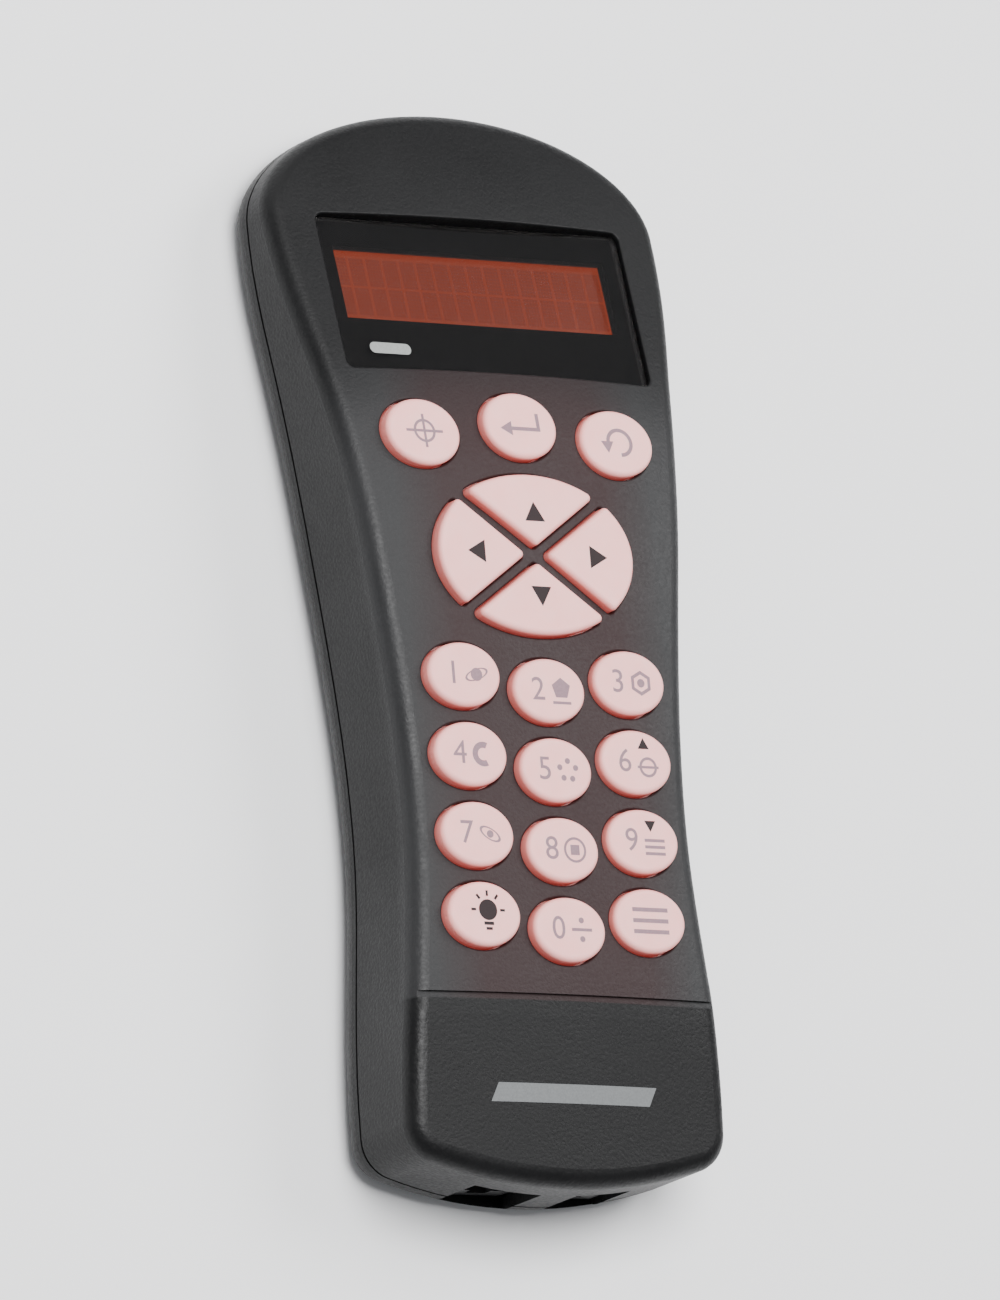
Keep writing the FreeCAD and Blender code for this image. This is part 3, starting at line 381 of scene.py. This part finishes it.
sign_x = 2.3                 # of a sign's middle, right of the key's, in millimetres
digit_x = -2.5
digit_size = 6.0
fine_line, line, wide_line, key_line = 0.45, 0.5, 0.55, 0.7
dot = 0.55
cluster = ((-1.7, 0.5), (0, 1.7), (1.6, 0.5), (0.8, -1.5), (-1, -1.4))
signs = {
    "key_align": lambda: [flat_ring(0, 0, 2.0, line), flat_bar(0, 0, 7.6, line), flat_bar(0, 0, line, 6.4)],
    "key_enter": lambda: [
        flat_bar(0.7, -0.8, 6.2, key_line), flat_bar(3.5, 0.6, key_line, 3.4),
        flat_arrow(-2.9, -0.8, 1.6, math.pi)],
    "key_undo": lambda: [
        flat_ring(0.4, 0, 2.4, key_line, keep=lambda x, y: y > 0 or x > 0),
        flat_arrow(-2.2, -0.6, 1.5, -quarter)],
    "key_1": lambda: [flat_disc(0, 0, 1.2), flat_ring(0, 0, 2.3, fine_line, turn=0.35, stretch=0.4)],
    "key_2": lambda: [flat_disc(0, 0.4, 2.0, sides=5), flat_bar(0, -2.2, 3.8, line)],
    "key_3": lambda: [flat_ring(0, 0, 2.0, 0.6, sides=6), flat_disc(0, 0, 0.8, sides=12)],
    "key_4": lambda: [flat_ring(0, 0, 1.7, 1.1, keep=lambda x, y: x < 0.6)],
    "key_5": lambda: [flat_disc(x, y, dot, sides=12) for x, y in cluster],
    "key_6": lambda: [flat_ring(0, -0.9, 1.6, line), flat_bar(0, -0.9, 4.4, fine_line)],
    "key_7": lambda: [flat_ring(0, 0, 2.1, line, turn=-0.5, stretch=0.45), flat_disc(0, 0, 0.7, sides=16)],
    "key_8": lambda: [flat_disc(0, 0, 1.3, sides=4, turn=quarter / 2), flat_ring(0, 0, 2.1, fine_line)],
    "key_9": lambda: [flat_bar(0, y, 4.2, wide_line) for y in (0.2, -1.0, -2.2)],
    "key_0": lambda: [
        flat_bar(0, 0, 4.2, wide_line), flat_disc(0, 1.7, dot, sides=12), flat_disc(0, -1.7, dot, sides=12)],
    "key_menu": lambda: [flat_bar(0, y, 7.4, 0.75) for y in (2.0, 0.0, -2.0)],
}
for node, draw in signs.items():
    shapes = draw()
    if node[-1].isdigit():
        for shape in shapes:
            shape.data.transform(Matrix.Translation((sign_x * mm, 0, 0)))
        shapes.append(flat_digit(node[-1], digit_x, 0, digit_size))
    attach(print_on(top_plane(node), node + "_legend", shapes, pale_ink), node + "_body")

pad_arrow_size = 2.4
pad_middle = (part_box("key_left")[0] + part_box("key_right")[1]) / 2
pad_arrows = {"key_up": (0, 7.2), "key_right": (12.2, 0), "key_down": (0, -7.2), "key_left": (-12.2, 0)}
for node, (x, y) in pad_arrows.items():
    spot = (pad_middle.x + x * mm, pad_middle.y + y * mm)
    arrow = flat_arrow(0, 0, pad_arrow_size, math.atan2(y, x))
    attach(print_on(top_plane(node, spot), node + "_legend", [arrow], dark_ink),
            node + "_body")
scroll_x, scroll_y, scroll_size = 1.6, 3.1, 1.35
for node, turn in (("key_6", quarter), ("key_9", -quarter)):
    arrow = flat_arrow(scroll_x, scroll_y, scroll_size, turn)
    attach(print_on(top_plane(node), node + "_scroll_arrow", [arrow], dark_ink),
            node + "_body")
bulb_x, bulb_y, bulb_radius = 0.5, 0.7, 1.9
ray_reach, ray_length = 3.0, 1.0
lamp_sign = [flat_disc(bulb_x, bulb_y, bulb_radius)]
lamp_sign += [flat_bar(bulb_x, -1.75, 2.0, 0.6), flat_bar(bulb_x, -2.7, 1.3, line)]
for angle in (0.0, 0.9, quarter, 2.25, math.pi):
    x, y = bulb_x + ray_reach * math.cos(angle), bulb_y + ray_reach * math.sin(angle)
    lamp_sign.append(flat_bar(x, y, ray_length, fine_line, angle))
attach(print_on(top_plane("key_light"), "key_light_legend", lamp_sign, dark_ink),
        "key_light_body")


# ---- window ----
# Cast acrylic, faintly smoked and polished, taped into its pocket. Its border is printed black on
# the back, and a small plain mark is printed on the front, low on the left.
view_size = Vector((57.0, 14.5))    # in millimetres, as are the other sizes of the printing
view_up = 2.85               # of the view's middle over the window's
border_inset = 0.6           # of the printing from the window's edge
smear_size = 9 * mm
window_thickness = 1.5 * mm
box_trim = 0.1               # taken off, as the tilted window's box measures more than its height
window_plane = top_plane("display_window")
window_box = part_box("display_window")
window_size = Vector((window_box[1].x - window_box[0].x, 0)) / mm
window_size.y = (Vector(window_box[1].yz) - Vector(window_box[0].yz)).length / mm - box_trim
smoked_acrylic = new_material("smoked_acrylic", {
    "Base Color": "#D8D2CF", "IOR": 1.49, "Specular IOR Level": 0.2, "Transmission Weight": 1.0})
place = add_node(smoked_acrylic, "TexCoord", {}).outputs["Object"]
smears = add_node(smoked_acrylic, "TexNoise", {"Scale": 1 / smear_size, "Detail": 4.0, "Vector": place})
finish(smoked_acrylic, {"Roughness": add_node(smoked_acrylic, "MapRange", {
    "Value": smears, "From Min": 0.3, "From Max": 0.8, "To Min": 0.01, "To Max": 0.05})})
dress(smoked_acrylic, "display_window")

border_ink = new_ink("black_border_ink", "#040405", "#08080A", 0.5, 0.1)
half = window_size / 2 - Vector((border_inset, border_inset))
view_top, view_bottom = view_up + view_size.y / 2, view_up - view_size.y / 2
side_width = half.x - view_size.x / 2
border = [
    flat_bar(0, (half.y + view_top) / 2, 2 * half.x, half.y - view_top),
    flat_bar(0, (view_bottom - half.y) / 2, 2 * half.x, view_bottom + half.y),
    flat_bar(-(view_size.x + side_width) / 2, view_up, side_width, view_size.y),
    flat_bar((view_size.x + side_width) / 2, view_up, side_width, view_size.y),
]
back_of_window = -window_thickness + 0.01 * mm
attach(print_on(window_plane, "window_border", border, border_ink, back_of_window), "case")
mark_ink = new_ink("pale_mark_ink", "#7A7C7A", "#929492", 0.5)
mark_x, mark_y, mark_radius, mark_length = -24.7, -10.6, 1.1, 6.4
mark = flat_disc(mark_x, mark_y, mark_radius)
bpy.ops.object.mode_set(mode="EDIT")
bpy.ops.mesh.select_all(action="DESELECT")
bpy.ops.object.mode_set(mode="OBJECT")
past_middle = 0.05
for vertex in mark.data.vertices:
    vertex.select = vertex.co.x > (mark_x + past_middle) * mm
bpy.ops.object.mode_set(mode="EDIT")
bpy.ops.transform.translate(value=(mark_length * mm, 0, 0))
bpy.ops.object.mode_set(mode="OBJECT")
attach(print_on(window_plane, "window_mark", [mark], mark_ink), "case")


# ---- lit glass ----
# A liquid crystal cell of two bonded glass sheets, with the light block behind it shining orange
# red. Two rows of sixteen character cells, each five dots by eight, show a shade darker.
def stripe(material, along, pitch, share):
    """Nodes that give 1 in a share of each repeat along a line, and 0 between."""
    turns = add_node(material, "Math", {"operation": "DIVIDE", 0: along, 1: pitch})
    phase = add_node(material, "Math", {"operation": "FRACT", 0: turns})
    return add_node(material, "Math", {"operation": "LESS_THAN", 0: phase, 1: share})


cell_pitch = Vector((3.55, 5.95)) * mm
cell_share = (0.85, 0.93)    # of the pitch, the rest being the gap to the next cell
cell_start = 0.3             # past the middle of the view, about half a gap
dot_pitch = Vector((0.6, 0.7)) * mm
dot_share = 0.86
uneven_size = 30 * mm
lit_glass = new_material("lit_display_glass", {
    "Base Color": "#2E0E07", "Roughness": 0.2, "IOR": 1.52, "Emission Strength": 0.75})
place = add_node(lit_glass, "TexCoord", {}).outputs["Object"]
flat = add_node(lit_glass, "Mapping", {
    "vector_type": "TEXTURE", "Location": window_plane.translation,
    "Rotation": window_plane.to_euler(), "Vector": place})
split = add_node(lit_glass, "SeparateXYZ", {"Vector": flat})
pattern = 1.0
for axis, number in (("X", 0), ("Y", 1)):
    start = (cell_start + number * view_up) * mm
    from_start = add_node(lit_glass, "Math", {"operation": "SUBTRACT", 0: split.outputs[axis], 1: start})
    in_cell = add_node(lit_glass, "Math", {
        "operation": "FLOORED_MODULO", 0: from_start, 1: cell_pitch[number]})
    for along, pitch, share in (
            (from_start, cell_pitch[number], cell_share[number]), (in_cell, dot_pitch[number], dot_share)):
        band = stripe(lit_glass, along, pitch, share)
        pattern = add_node(lit_glass, "Math", {"operation": "MULTIPLY", 0: pattern, 1: band})
from_middle = add_node(lit_glass, "Math", {
    "operation": "SUBTRACT", 0: split.outputs["Y"], 1: view_up * mm})
from_middle = add_node(lit_glass, "Math", {"operation": "ABSOLUTE", 0: from_middle})
in_rows = add_node(lit_glass, "Math", {"operation": "LESS_THAN", 0: from_middle, 1: cell_pitch.y})
pattern = add_node(lit_glass, "Math", {"operation": "MULTIPLY", 0: pattern, 1: in_rows})
uneven = add_node(lit_glass, "TexNoise", {"Scale": 1 / uneven_size, "Detail": 1.0, "Vector": place})
light = add_node(lit_glass, "Mix", {"data_type": "RGBA", "Factor": uneven, "A": "#B33E14", "B": "#BF471B"})
glow = add_node(lit_glass, "Mix", {"data_type": "RGBA", "Factor": pattern, "A": light, "B": "#9A3817"})
finish(lit_glass, {"Emission Color": glow})
dress(lit_glass, "lcd_glass")


# ---- tail bar ----
# A plain pale bar with slanted ends, printed across the tail's face below the groove, where it
# follows the slight barrel of the face.
bar_length, bar_width, bar_slant = 33 * mm, 3.4 * mm, 1.6 * mm
bar_y = (low.y + panel_start) / 2
drop_height = 5 * mm         # that the bar is laid on the face from
bpy.ops.mesh.primitive_grid_add(x_subdivisions=24, y_subdivisions=3, size=1.0, location=(0, 0, 0))
tail_bar = bpy.context.object
tail_bar.name = "tail_bar"
for vertex in tail_bar.data.vertices:
    x, y = vertex.co.x, vertex.co.y
    vertex.co = (x * bar_length + y * bar_slant, bar_y + y * bar_width, high.z + drop_height)
wrap = tail_bar.modifiers.new("wrap", "SHRINKWRAP")
wrap.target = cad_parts["front_shell"]
wrap.wrap_method = "PROJECT"
wrap.use_project_z = True
wrap.use_negative_direction = True
wrap.use_positive_direction = False
wrap.offset = 0.01 * mm
bpy.ops.object.modifier_apply(modifier=wrap.name)
thicken = tail_bar.modifiers.new("film", "SOLIDIFY")
thicken.thickness = ink_thickness
thicken.offset = 1.0
bpy.ops.object.modifier_apply(modifier=thicken.name)
tail_bar.data.materials.append(new_ink("silver_grey_ink", "#5A5C5D", "#6F7172", 0.5))
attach(tail_bar, "case")


# ---- keypad mat ----
# One sheet of black silicone under the keys, with a dusty matt skin. It stops the lamps' light
# from leaking out round the keys. Its colour is painted dark red, as painted glow of the lamps' red light on
# it.
dust_size = 2 * mm
rubber = new_material("black_mat_silicone", {"Roughness": 0.7, "IOR": 1.41})
place = add_node(rubber, "TexCoord", {}).outputs["Object"]
dust = add_node(rubber, "TexNoise", {"Scale": 1 / dust_size, "Detail": 5.0, "Vector": place})
grain = add_node(rubber, "Bump", {"Strength": 0.4, "Distance": 0.02 * mm, "Height": dust})
# Painted glow: the dark red of the skin is the lamps' red light painted onto black silicone.
finish(rubber, {"Normal": grain, "Base Color": add_node(rubber, "Mix", {
    "data_type": "RGBA", "Factor": dust, "A": "#2A1416", "B": "#381C1E"})})
dress(rubber, "keypad_mat")


# ---- circuit boards ----
# Glass-fibre boards under green solder mask. The mask is glossy and a little wavy, and the copper
# tracks under it show as paler lines on a 2.54 mm raster.
board_lacquer = new_material("solder_masked_board", {"Roughness": 0.28, "IOR": 1.55})
place = add_node(board_lacquer, "TexCoord", {}).outputs["Object"]
track_pitch = 2.54 * mm
track_width = 0.12 * mm
wave_size = 3 * mm
tracks = add_node(board_lacquer, "TexBrick", {
    "Scale": 1.0, "Brick Width": 6 * track_pitch, "Row Height": track_pitch, "Mortar Size": track_width,
    "Color1": "#17452B", "Color2": "#194A2F", "Mortar": "#2F6B45", "Vector": place})
waves = add_node(board_lacquer, "TexNoise", {"Scale": 1 / wave_size, "Detail": 2.0, "Vector": place})
finish(board_lacquer, {"Base Color": tracks.outputs["Color"], "Normal": add_node(board_lacquer, "Bump", {
    "Strength": 0.3, "Distance": 0.03 * mm, "Height": waves})})
dress(board_lacquer, "main_board", "lcd_board")


# ---- small pieces inside ----
# Seen only with the case off: epoxy chips, plated and blackened metal, ceramic, plastics and tape.
# Each has its own colour and gloss, with a fine mottle.
def mottled(name, first, second, size, values, depth=0.0):
    """A material whose colour, and skin where a depth is given, vary over one size."""
    material = new_material(name, values)
    place = add_node(material, "TexCoord", {}).outputs["Object"]
    mottle = add_node(material, "TexNoise", {"Scale": 1 / size, "Detail": 3.0, "Vector": place})
    tone = add_node(material, "Mix", {"data_type": "RGBA", "Factor": mottle, "A": first, "B": second})
    finish(material, {"Base Color": tone})
    if depth:
        skin = add_node(material, "Bump", {"Strength": 0.5, "Distance": depth, "Height": mottle})
        finish(material, {"Normal": skin})
    return material


dress(mottled("moulded_epoxy", "#141416", "#1F1F22", 0.3 * mm, {"Roughness": 0.55}, 0.02 * mm),
      "controller_chip", "memory_chip", "lcd_driver_chips")
dress(mottled("gold_plated_copper", "#D9A84E", "#E8BE6A", 0.5 * mm,
              {"Metallic": 1.0, "Roughness": 0.25}, 0.004 * mm),
      "contact_pads", "cord_contacts", "data_contacts")
dress(mottled("red_lamp_epoxy", "#E24A3C", "#F06A58", 0.8 * mm,
              {"Roughness": 0.3, "Emission Color": "#FF2A1A", "Emission Strength": 1.5}), "key_lamps")
dress(mottled("drawn_steel_can", "#B9BBBD", "#CFD1D2", 1.5 * mm,
              {"Metallic": 1.0, "Roughness": 0.3}, 0.004 * mm), "crystal")
dress(mottled("capacitor_sleeve", "#1B2440", "#26305A", 1.0 * mm, {"Roughness": 0.4}), "board_capacitors")
dress(mottled("resistor_ceramic", "#17171A", "#26262A", 0.3 * mm, {"Roughness": 0.35}), "board_resistors")
dress(mottled("zinc_plated_steel", "#A9ABAA", "#C2C2BD", 1.2 * mm,
              {"Metallic": 1.0, "Roughness": 0.34}, 0.004 * mm),
      "case_screws", "board_screws", "lcd_screws")
dress(mottled("blackened_steel", "#161617", "#202022", 1.5 * mm,
              {"Metallic": 0.6, "Roughness": 0.42}, 0.006 * mm), "lcd_frame")
dress(mottled("milky_light_guide", "#F0DCD4", "#F6E6E0", 3 * mm,
              {"Roughness": 0.4, "Emission Color": "#FF5A2A", "Emission Strength": 0.6}), "lcd_backlight")
dress(mottled("striped_contact_rubber", "#D98FA0", "#E3A3B1", 0.4 * mm, {"Roughness": 0.6}),
      "lcd_contact_strips")
dress(mottled("foam_tape", "#1C1C1D", "#2A2A2B", 0.4 * mm, {"Roughness": 0.9}, 0.03 * mm), "window_tape")
dress(mottled("nylon_connector", "#E3DCC8", "#ECE6D6", 1.0 * mm, {"Roughness": 0.45}, 0.01 * mm),
      "ribbon_connector")
dress(mottled("glass_filled_nylon", "#121213", "#1C1C1E", 0.35 * mm, {"Roughness": 0.5}, 0.02 * mm),
      "cord_socket", "data_socket")


# ---- ribbon ----
# Milky film over flat wires on a 1.27 mm pitch, which show through it as grey stripes. It runs
# from the main board's connector to the back of the display's board.
ribbon_film = new_material("flat_ribbon_film", {"Roughness": 0.35})
place = add_node(ribbon_film, "TexCoord", {}).outputs["Object"]
wire_pitch = 1.27 * mm
wire_share = 0.55
across = add_node(ribbon_film, "SeparateXYZ", {"Vector": place}).outputs["X"]
wires = stripe(ribbon_film, across, wire_pitch, wire_share)
finish(ribbon_film, {"Base Color": add_node(ribbon_film, "Mix", {
    "data_type": "RGBA", "Factor": wires, "A": "#D8D4CB", "B": "#B9B7B2"})})
dress(ribbon_film, "display_ribbon")
